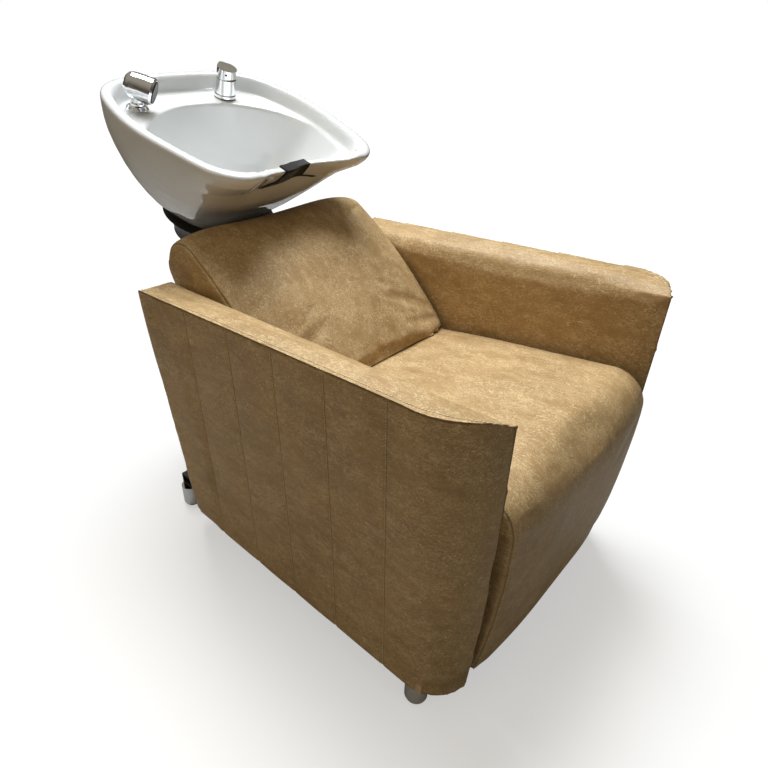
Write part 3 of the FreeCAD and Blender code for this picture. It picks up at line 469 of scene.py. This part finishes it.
def stitchTree(look):
    tree = bpy.data.node_groups.new("stitchRun", "GeometryNodeTree")
    face = tree.interface
    face.new_socket("Path", in_out="INPUT", socket_type="NodeSocketGeometry")
    for name in ("Pitch", "Thread Radius", "Stitch Length"):
        face.new_socket(name, in_out="INPUT", socket_type="NodeSocketFloat")
    face.new_socket("Thread", in_out="INPUT", socket_type="NodeSocketMaterial")
    face.new_socket("Stitches", in_out="OUTPUT", socket_type="NodeSocketGeometry")
    start = tree.nodes.new("NodeGroupInput")
    end = tree.nodes.new("NodeGroupOutput")
    link = tree.links.new
    curve = tree.nodes.new("GeometryNodeMeshToCurve")
    link(start.outputs["Path"], curve.inputs["Mesh"])
    even = tree.nodes.new("GeometryNodeResampleCurve")
    even.mode = "LENGTH"
    link(curve.outputs["Curve"], even.inputs["Curve"])
    link(start.outputs["Pitch"], even.inputs["Length"])
    tangent = tree.nodes.new("GeometryNodeInputTangent")
    aim = tree.nodes.new("FunctionNodeAlignRotationToVector")
    aim.axis = "Z"
    link(tangent.outputs["Tangent"], aim.inputs["Vector"])
    bead = addNode(tree, "GeometryNodeMeshUVSphere", {"Segments": look["segments"], "Rings": look["rings"],
                                                      "Radius": 1.0})
    uneven = tree.nodes.new("FunctionNodeRandomValue")
    uneven.data_type = "FLOAT"
    uneven.inputs[2].default_value, uneven.inputs[3].default_value = look["uneven"]
    uneven.inputs["Seed"].default_value = look["seed"]
    half = addNode(tree, "ShaderNodeMath", operation="MULTIPLY")
    half.inputs[1].default_value = 0.5
    link(start.outputs["Stitch Length"], half.inputs[0])
    length = addNode(tree, "ShaderNodeMath", operation="MULTIPLY")
    link(half.outputs[0], length.inputs[0])
    link(uneven.outputs[1], length.inputs[1])
    size = tree.nodes.new("ShaderNodeCombineXYZ")
    link(start.outputs["Thread Radius"], size.inputs["X"])
    link(start.outputs["Thread Radius"], size.inputs["Y"])
    link(length.outputs[0], size.inputs["Z"])
    place = tree.nodes.new("GeometryNodeInstanceOnPoints")
    link(even.outputs["Curve"], place.inputs["Points"])
    link(bead.outputs["Mesh"], place.inputs["Instance"])
    link(aim.outputs["Rotation"], place.inputs["Rotation"])
    link(size.outputs["Vector"], place.inputs["Scale"])
    real = tree.nodes.new("GeometryNodeRealizeInstances")
    link(place.outputs["Instances"], real.inputs["Geometry"])
    coat = tree.nodes.new("GeometryNodeSetMaterial")
    link(real.outputs["Geometry"], coat.inputs["Geometry"])
    link(start.outputs["Thread"], coat.inputs["Material"])
    link(coat.outputs["Geometry"], end.inputs["Stitches"])
    return tree


stitches = stitchTree(stitchLook)


def stitchRow(name, lines, look, body):
    verts, edges = [], []
    for line in lines:
        first = len(verts)
        verts += [tuple(p) for p in line]
        edges += [(k, k + 1) for k in range(first, len(verts) - 1)]
    mesh = bpy.data.meshes.new(name)
    mesh.from_pydata(verts, edges, [])
    piece = newPiece(name, mesh)
    run = piece.modifiers.new("stitches", "NODES")
    run.node_group = stitches
    values = {"Pitch": look["pitch"], "Thread Radius": look["thread"], "Stitch Length": look["stitch"],
              "Thread": paleThread}
    for item in stitches.interface.items_tree:
        if item.in_out == "INPUT" and item.name in values:
            run[item.identifier] = values[item.name]
    plainMesh(piece)
    shadeSmooth(piece)
    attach(piece, body)


# arms

armLook = {
    "crispDepth": 7, "crispScale": 0.99, "smooth": 0, "pressure": 3.0, "frames": 20,
    "cap": 0.0045, "tuck": 0.0016, "crisp": 0.0035, "creaseAngle": 32, "coreRoom": 0.0003,
    "cadRound": 0.054, "capRound": 0.028, "roundFrom": (-0.38, -0.49), "fadeFrom": 0.004, "fadeReach": 0.15,
    "noseDrop": 0.019, "noseReach": 0.06, "seamDrop": 0.0045,
    "panelLines": (0.0681, -0.0510, -0.1602, -0.2701, -0.3830),   # vertical sewn lines on the outer face
    "outer": 0.330, "lean": 0.0165, "inner": 0.241, "noseIn": 0.020,
    "tip": -0.5248, "turn": -0.4088, "toe": -0.5078, "rear": 0.2362, "rearRound": 0.026,
    "frontTop": 0.618, "rearTop": 0.583, "foot": 0.056, "rearSoft": 0.042, "rearLean": 0.06,
    "edgeSteps": 60, "turnSteps": 30, "panelSteps": 79, "panelFrom": 0.004, "panelSpan": 0.006,
    # each seam's width, depth, painted shade and the reach of that painted shade
    "panelSeam": (0.005, 0.0011, 0.2, 0.0020), "capSeam": (0.0045, 0.0016, 1.0, 0.0026),
    "frontSeam": (0.004, 0.0012, 1.0, 0.0030),
    "pitch": 0.0046, "thread": 0.001, "stitch": 0.0039, "rowEnds": 6, "panelRowLift": 0.0007,
    "capRowInset": 0.0075, "capRowStep": 0.002, "capRowLift": 0.0002,
}


def armTop(y):
    rise = (armLook["frontTop"] - armLook["rearTop"]) / (armLook["rear"] - armLook["tip"])
    return armLook["frontTop"] - rise * (y - armLook["tip"])


def capLift(p):
    # the padding fills the arm's inner top edge out to a smaller round, almost square at the nose
    a = armLook
    along = min(1.0, max(0.0, (a["rear"] - p.y) / (a["rear"] - a["tip"])))
    inner = a["inner"] + a["noseIn"] * along * (p.z - a["foot"]) / (a["frontTop"] - a["foot"])
    inset = max(0.0, -p.x - inner)
    depth = armTop(p.y) - p.z
    near, far = a["roundFrom"]
    share = min(1.0, max(0.0, (near - p.y) / (near - far)))

    def arc(radius):
        return radius - math.sqrt(max(0.0, radius ** 2 - max(0.0, radius - inset) ** 2))
    nose = a["noseDrop"] * max(0.0, 1 - inset / a["noseReach"]) ** 2
    filled = arc(a["capRound"]) * (1 - share) + nose * share
    fade = min(1.0, max(0.0, 1.0 - (depth - a["cadRound"] - a["fadeFrom"]) / a["fadeReach"]))
    return (arc(a["cadRound"]) - filled) * fade


def capEdge(inset=0.0):
    # outer edge of the arm's top panel, from the rear round the nose to the front seam
    a = armLook
    outer = a["outer"] - inset
    nose = a["inner"] + a["noseIn"]
    line = []
    for k in range(a["edgeSteps"]):
        y = a["rear"] - a["rearRound"] - (a["rear"] - a["rearRound"] - a["turn"]) * k / a["edgeSteps"]
        line.append(Vector((-outer, y, armTop(y))))
    for k in range(a["turnSteps"] + 1):
        turn = math.radians(90 * k / a["turnSteps"])
        x = nose + (outer - nose) * math.cos(turn)
        y = a["turn"] + (a["tip"] + inset - a["turn"]) * math.sin(turn)
        line.append(Vector((-x, y, armTop(y))))
    return line


def frontEdge():
    # seam down the front inner corner
    a = armLook
    line = []
    for k in range(a["edgeSteps"] + 1):
        t = k / a["edgeSteps"]
        x = a["inner"] + a["noseIn"] * (1 - t)
        y = a["tip"] + (a["toe"] - a["tip"]) * max(0.0, 2 * t - 1) ** 2
        line.append(Vector((-x, y, a["frontTop"] + (a["foot"] - a["frontTop"]) * t)))
    return line


def panelLine(y):
    # sewn line down the outer face
    a = armLook
    line = []
    for k in range(a["panelSteps"] + 1):
        t = k / a["panelSteps"]
        z = armTop(y) - a["panelFrom"] - (armTop(y) - a["panelSpan"] - a["foot"]) * t
        line.append(Vector((-a["outer"] + a["lean"] * (armTop(y) - z) / (armTop(y) - a["foot"]), y, z)))
    return line


def softenRear(arm):
    # rounds the arm's upper rear end
    a = armLook
    radius = a["rearSoft"]
    for v in arm.data.vertices:
        depth = armTop(v.co.y) - v.co.z
        inset = a["rear"] - a["rearLean"] * depth - v.co.y
        out = Vector((0, radius - inset, radius - depth))
        if inset < radius and depth < radius and out.length > radius:
            v.co += out * (radius / out.length - 1)


def makeArms():
    a = armLook
    arm = nodeCopy("left_arm_pad", "leftArm")
    low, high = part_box("left_arm_core")
    bm = bmesh.new()
    bm.from_mesh(arm.data)
    room = a["coreRoom"]

    def inCore(v):
        return all(low[i] - room < v.co[i] < high[i] + room for i in range(3))
    # the pocket for the timber core doesn't show
    pocket = [f for f in bm.faces if all(inCore(v) for v in f.verts)]
    bmesh.ops.delete(bm, geom=pocket, context="FACES")
    rims = [e for e in bm.edges if e.is_boundary]
    bmesh.ops.holes_fill(bm, edges=rims, sides=0)
    for v in bm.verts:
        v.co.z += capLift(v.co)
    bm.to_mesh(arm.data)
    bm.free()
    creases = creasesOf(arm, math.radians(a["creaseAngle"]))
    panels = [panelLine(y) for y in a["panelLines"]]
    edge = capEdge()
    front = frontEdge()
    pins = [p for line in panels + [edge, front] for p in line]
    plumpUp(arm, a, pins)
    subdivided(arm)
    pullOnto(arm, creases, a["crisp"])
    softenRear(arm)
    tree = surfaceOf(arm)
    seam = [p - Vector((0, 0, a["seamDrop"])) for p in edge]
    panels = [evenly(snapped(line, tree), lineStep) for line in panels]
    edge, front, seam = (evenly(snapped(line, tree), lineStep) for line in (edge, front, seam))
    refineAlong(arm, panels + [edge, seam, front])
    sewIn(arm, panels, *a["panelSeam"])
    sewIn(arm, [seam], *a["capSeam"])
    sewIn(arm, [front], *a["frontSeam"])
    shadeSmooth(arm)
    dress(arm, tanHide)
    tree = surfaceOf(arm)
    rows = [snapped(line[a["rowEnds"]:-a["rowEnds"]], tree, a["panelRowLift"]) for line in panels]
    rows.append(snapped(evenly(capEdge(a["capRowInset"]), a["capRowStep"]), tree, a["capRowLift"]))
    other = newPiece("rightArm", arm.data.copy())
    other.data.transform(Matrix.Scale(-1, 4, (1, 0, 0)))
    other.data.flip_normals()
    for piece, node in ((arm, "left_arm_pad"), (other, "right_arm_pad")):
        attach(piece, "chair")
        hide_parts(node)
    stitchRow("leftArmStitches", rows, a, "chair")
    stitchRow("rightArmStitches", [mirrorX(row) for row in rows], a, "chair")
    print("arms sewn:", len(arm.data.polygons), "faces each")


makeArms()


# seat and back

cushionLook = {
    "seat_cushion": {"name": "seatCushion", "voxel": 0.0065, "smooth": 2, "pressure": 4.0, "frames": 20,
                     "cap": 0.009, "tuck": 0.004, "ripple": (0.16, 0.0018, 3.1), "fill": 0.8},
    "backrest_cushion": {"name": "backCushion", "voxel": 0.006, "smooth": 8, "pressure": 3.0, "frames": 20,
                         "cap": 0.007, "tuck": 0.003, "ripple": (0.16, 0.0016, 8.4), "fill": 0.75},
}
# seam gives the side seams' width, depth, painted shade and the reach of that painted shade
cushionRow = {"inset": 0.0065, "lift": 0.0002, "pitch": 0.0046, "thread": 0.00065, "stitch": 0.0036,
              "seam": (0.006, 0.0022, 0.9, 0.0024), "loopStep": 0.002, "breakGap": 0.012, "leastPoints": 8,
              "flatRoom": 0.0002, "sideLimit": 0.2404}
seamRange = {"seatFoot": 0.09, "seatFront": -0.47, "seatTop": 0.40, "backFoot": 0.43, "backRear": 0.262}


def onSeatSeam(p):
    return p.z > seamRange["seatFoot"] and (p.y < seamRange["seatFront"] or p.z > seamRange["seatTop"])


def onBackSeam(p):
    return p.z > seamRange["backFoot"] and p.y < seamRange["backRear"]


def sideLoop(node, side):
    # rim of a cushion solid's flat side face, as an ordered line
    bm = bmesh.new()
    bm.from_mesh(nodes[node].data)
    bmesh.ops.remove_doubles(bm, verts=bm.verts, dist=mergeGap)
    low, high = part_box(node)
    edgeX = high.x if side > 0 else low.x
    flat = {f for f in bm.faces if all(abs(v.co.x - edgeX) < cushionRow["flatRoom"] for v in f.verts)}
    rim = {}
    for e in bm.edges:
        inside = [f for f in e.link_faces if f in flat]
        if len(inside) == 1:
            for v, w in (e.verts, reversed(e.verts)):
                rim.setdefault(v, []).append(w)
    start = max(rim, key=lambda v: v.co.z)
    line, last, here = [start.co.copy()], None, start
    while True:
        step = [w for w in rim[here] if w != last]
        last, here = here, step[0]
        line.append(here.co.copy())
        if here == start:
            break
    bm.free()
    return line


def makeCushion(node, keepSeam):
    look = cushionLook[node]
    piece = nodeCopy(node, look["name"])
    loops = [evenly(sideLoop(node, side), cushionRow["loopStep"]) for side in (-1, 1)]
    loops = [[p for p in loop if keepSeam(p)] for loop in loops]
    pins = [p for loop in loops for p in loop]
    plumpUp(piece, look, pins)
    subdivided(piece)
    ripple(piece, *look["ripple"])
    tree = surfaceOf(piece)
    seams = [snapped(loop, tree) for loop in loops]
    refineAlong(piece, seams)
    sewIn(piece, seams, *cushionRow["seam"])
    limit = cushionRow["sideLimit"]
    for v in piece.data.vertices:
        v.co.x = max(-limit, min(limit, v.co.x))
    shadeSmooth(piece)
    dress(piece, tanHide)
    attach(piece, "chair")
    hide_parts(node)
    return piece, loops


def rowBeside(loop, tree):
    # a stitch row on the main panel, inset from the side seam
    shifted = [Vector((p.x - math.copysign(cushionRow["inset"], p.x), p.y, p.z)) for p in loop]
    return snapped(shifted, tree, cushionRow["lift"])


def chained(points):
    # splits a filtered loop where points were left out
    gap = cushionRow["breakGap"]
    runs, run = [], [points[0]]
    for a, b in zip(points, points[1:]):
        if (b - a).length > gap:
            runs.append(run)
            run = []
        run.append(b)
    runs.append(run)
    if len(runs) > 1 and (runs[0][0] - runs[-1][-1]).length < gap:
        runs[0] = runs.pop() + runs[0]
    return [r for r in runs if len(r) > cushionRow["leastPoints"]]


seat, seatLoops = makeCushion("seat_cushion", onSeatSeam)
back, backLoops = makeCushion("backrest_cushion", onBackSeam)
for piece, loops, name in ((seat, seatLoops, "seatStitches"), (back, backLoops, "backStitches")):
    tree = surfaceOf(piece)
    rows = [rowBeside(run, tree) for loop in loops for run in chained(loop)]
    stitchRow(name, rows, cushionRow, "chair")
print("cushions sewn:", len(seat.data.polygons), len(back.data.polygons))


rearLook = {"voxel": 0.004, "smooth": 2, "pressure": 2.0, "frames": 10, "cap": 0.003, "tuck": 0.001}


def makeRearPanel():
    piece = nodeCopy("rear_panel", "rearPanel")
    plumpUp(piece, rearLook)
    shadeSmooth(piece)
    dress(piece, tanHide)
    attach(piece, "chair")
    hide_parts("rear_panel")


makeRearPanel()
print("rear panel covered")


# basin

basinLook = {"tilt": 17.0, "voxel": 0.0037, "rounds": 4}


def makeBasin():
    # the glaze rounds every edge, so the solid is remeshed square to its rim and smoothed
    piece = nodeCopy("basin", "basinGlaze")
    lean = Matrix.Rotation(math.radians(basinLook["tilt"]), 4, "X")
    piece.data.transform(lean.inverted())
    remesh = piece.modifiers.new("remesh", "REMESH")
    remesh.mode = "VOXEL"
    remesh.voxel_size = basinLook["voxel"]
    soften = piece.modifiers.new("soften", "SMOOTH")
    soften.factor = softenFactor
    soften.iterations = basinLook["rounds"]
    plainMesh(piece)
    piece.data.transform(lean)
    shadeSmooth(piece)
    dress(piece, finishes["white_ceramic"])
    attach(piece, "tilting_basin")
    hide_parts("basin")
    print("basin glazed:", len(piece.data.polygons), "faces")


makeBasin()


# stage, light, camera

stageLook = {"white": 1.1, "share": 0.45, "cameraTone": 0.85, "bounceTone": 0.2, "mirrorTone": 0.5,
             "nearFar": (0.9, 2.0), "floorReach": 12.0, "skyRange": (0.0, 0.9),
             "horizon": 0.08, "zenith": 0.36, "room": (1.0, 0.9, 0.72)}


def makeFloor():
    # white to the camera with the shadow kept, a plain grey for bounced light
    mesh = bpy.data.meshes.new("floor")
    size = stageLook["floorReach"]
    corners = [(-size, -size, 0), (size, -size, 0), (size, size, 0), (-size, size, 0)]
    mesh.from_pydata(corners, [], [(0, 1, 2, 3)])
    floor = newPiece("floor", mesh)
    mat = bpy.data.materials.new("paleFloor")
    mat.use_nodes = True
    tree = mat.node_tree
    tree.nodes.clear()
    out = tree.nodes.new("ShaderNodeOutputMaterial")
    path = tree.nodes.new("ShaderNodeLightPath")
    seen = mathNode(tree, "MAXIMUM", path.outputs["Is Camera Ray"], path.outputs["Is Transmission Ray"])
    tones = [(stageLook[key],) * 3 + (1,) for key in ("bounceTone", "cameraTone")]
    matt = tree.nodes.new("ShaderNodeBsdfDiffuse")
    mirrored = (stageLook["mirrorTone"],) * 3 + (1,)
    tone = blendColour(tree, path.outputs["Is Glossy Ray"], blendColour(tree, seen, *tones), mirrored)
    tree.links.new(tone, matt.inputs["Color"])
    glow = addNode(tree, "ShaderNodeEmission", {"Color": (1, 1, 1, 1), "Strength": stageLook["white"]})
    where = tree.nodes.new("ShaderNodeTexCoord")
    reach = addNode(tree, "ShaderNodeVectorMath", operation="LENGTH")
    tree.links.new(where.outputs["Object"], reach.inputs[0])
    share = spread(tree, reach.outputs["Value"], *stageLook["nearFar"], stageLook["share"], 1.0)
    mix = tree.nodes.new("ShaderNodeMixShader")
    tree.links.new(mathNode(tree, "MULTIPLY", seen, share), mix.inputs[0])
    tree.links.new(matt.outputs[0], mix.inputs[1])
    tree.links.new(glow.outputs[0], mix.inputs[2])
    tree.links.new(mix.outputs[0], out.inputs["Surface"])
    mesh.materials.append(mat)


def makeWorld():
    # white behind the unit, a dim room for light and reflections
    world = bpy.data.worlds.new("studio")
    scene.world = world
    world.use_nodes = True
    tree = world.node_tree
    tree.nodes.clear()
    out = tree.nodes.new("ShaderNodeOutputWorld")
    path = tree.nodes.new("ShaderNodeLightPath")
    where = tree.nodes.new("ShaderNodeTexCoord")
    split = tree.nodes.new("ShaderNodeSeparateXYZ")
    tree.links.new(where.outputs["Generated"], split.inputs[0])
    room = addNode(tree, "ShaderNodeBackground", {"Color": (*stageLook["room"], 1)})
    height = spread(tree, split.outputs["Z"], *stageLook["skyRange"], stageLook["horizon"], stageLook["zenith"])
    tree.links.new(height, room.inputs["Strength"])
    clean = addNode(tree, "ShaderNodeBackground", {"Color": (1, 1, 1, 1), "Strength": 1.0})
    mix = tree.nodes.new("ShaderNodeMixShader")
    seen = mathNode(tree, "MAXIMUM", path.outputs["Is Camera Ray"], path.outputs["Is Transmission Ray"])
    tree.links.new(seen, mix.inputs[0])
    tree.links.new(room.outputs[0], mix.inputs[1])
    tree.links.new(clean.outputs[0], mix.inputs[2])
    tree.links.new(mix.outputs[0], out.inputs["Surface"])


lamps = {
    "ceiling": {"at": (0.6, 0.85, 3.4), "aim": (0.0, -0.15, 0.45), "size": 1.8, "spread": 90, "power": 46,
                "colour": (0.93, 0.97, 1.0)},
    "side": {"at": (-2.8, 0.2, 1.6), "aim": (0, 0, 0.45), "size": 1.4, "spread": 180, "power": 9,
             "colour": (1.0, 0.77, 0.46)},
}


def makeLamps():
    for name, look in lamps.items():
        lamp = bpy.data.lights.new(name, "AREA")
        lamp.shape = "SQUARE"
        lamp.size = look["size"]
        lamp.spread = math.radians(look["spread"])
        lamp.energy = look["power"]
        lamp.color = look["colour"]
        holder = bpy.data.objects.new(name, lamp)
        holder.location = look["at"]
        aim = Vector(look["aim"]) - Vector(look["at"])
        holder.rotation_euler = aim.to_track_quat("-Z", "Y").to_euler()
        scene.collection.objects.link(holder)


cameraLook = {"at": (-0.7997, -0.7654, 1.0005), "turn": (59.208, 0.0, -46.775), "lens": 27.666,
              "shift": (0.0439, -0.0094), "sensor": 36.0, "farClip": 60.0}


def makeCamera():
    lens = bpy.data.cameras.new("photoCamera")
    lens.sensor_width = cameraLook["sensor"]
    lens.lens = cameraLook["lens"]
    lens.shift_x, lens.shift_y = cameraLook["shift"]
    lens.clip_end = cameraLook["farClip"]
    holder = bpy.data.objects.new("photoCamera", lens)
    holder.location = cameraLook["at"]
    holder.rotation_euler = Euler([math.radians(t) for t in cameraLook["turn"]])
    scene.collection.objects.link(holder)
    scene.camera = holder


makeFloor()
makeWorld()
makeLamps()
makeCamera()
print("stage ready")
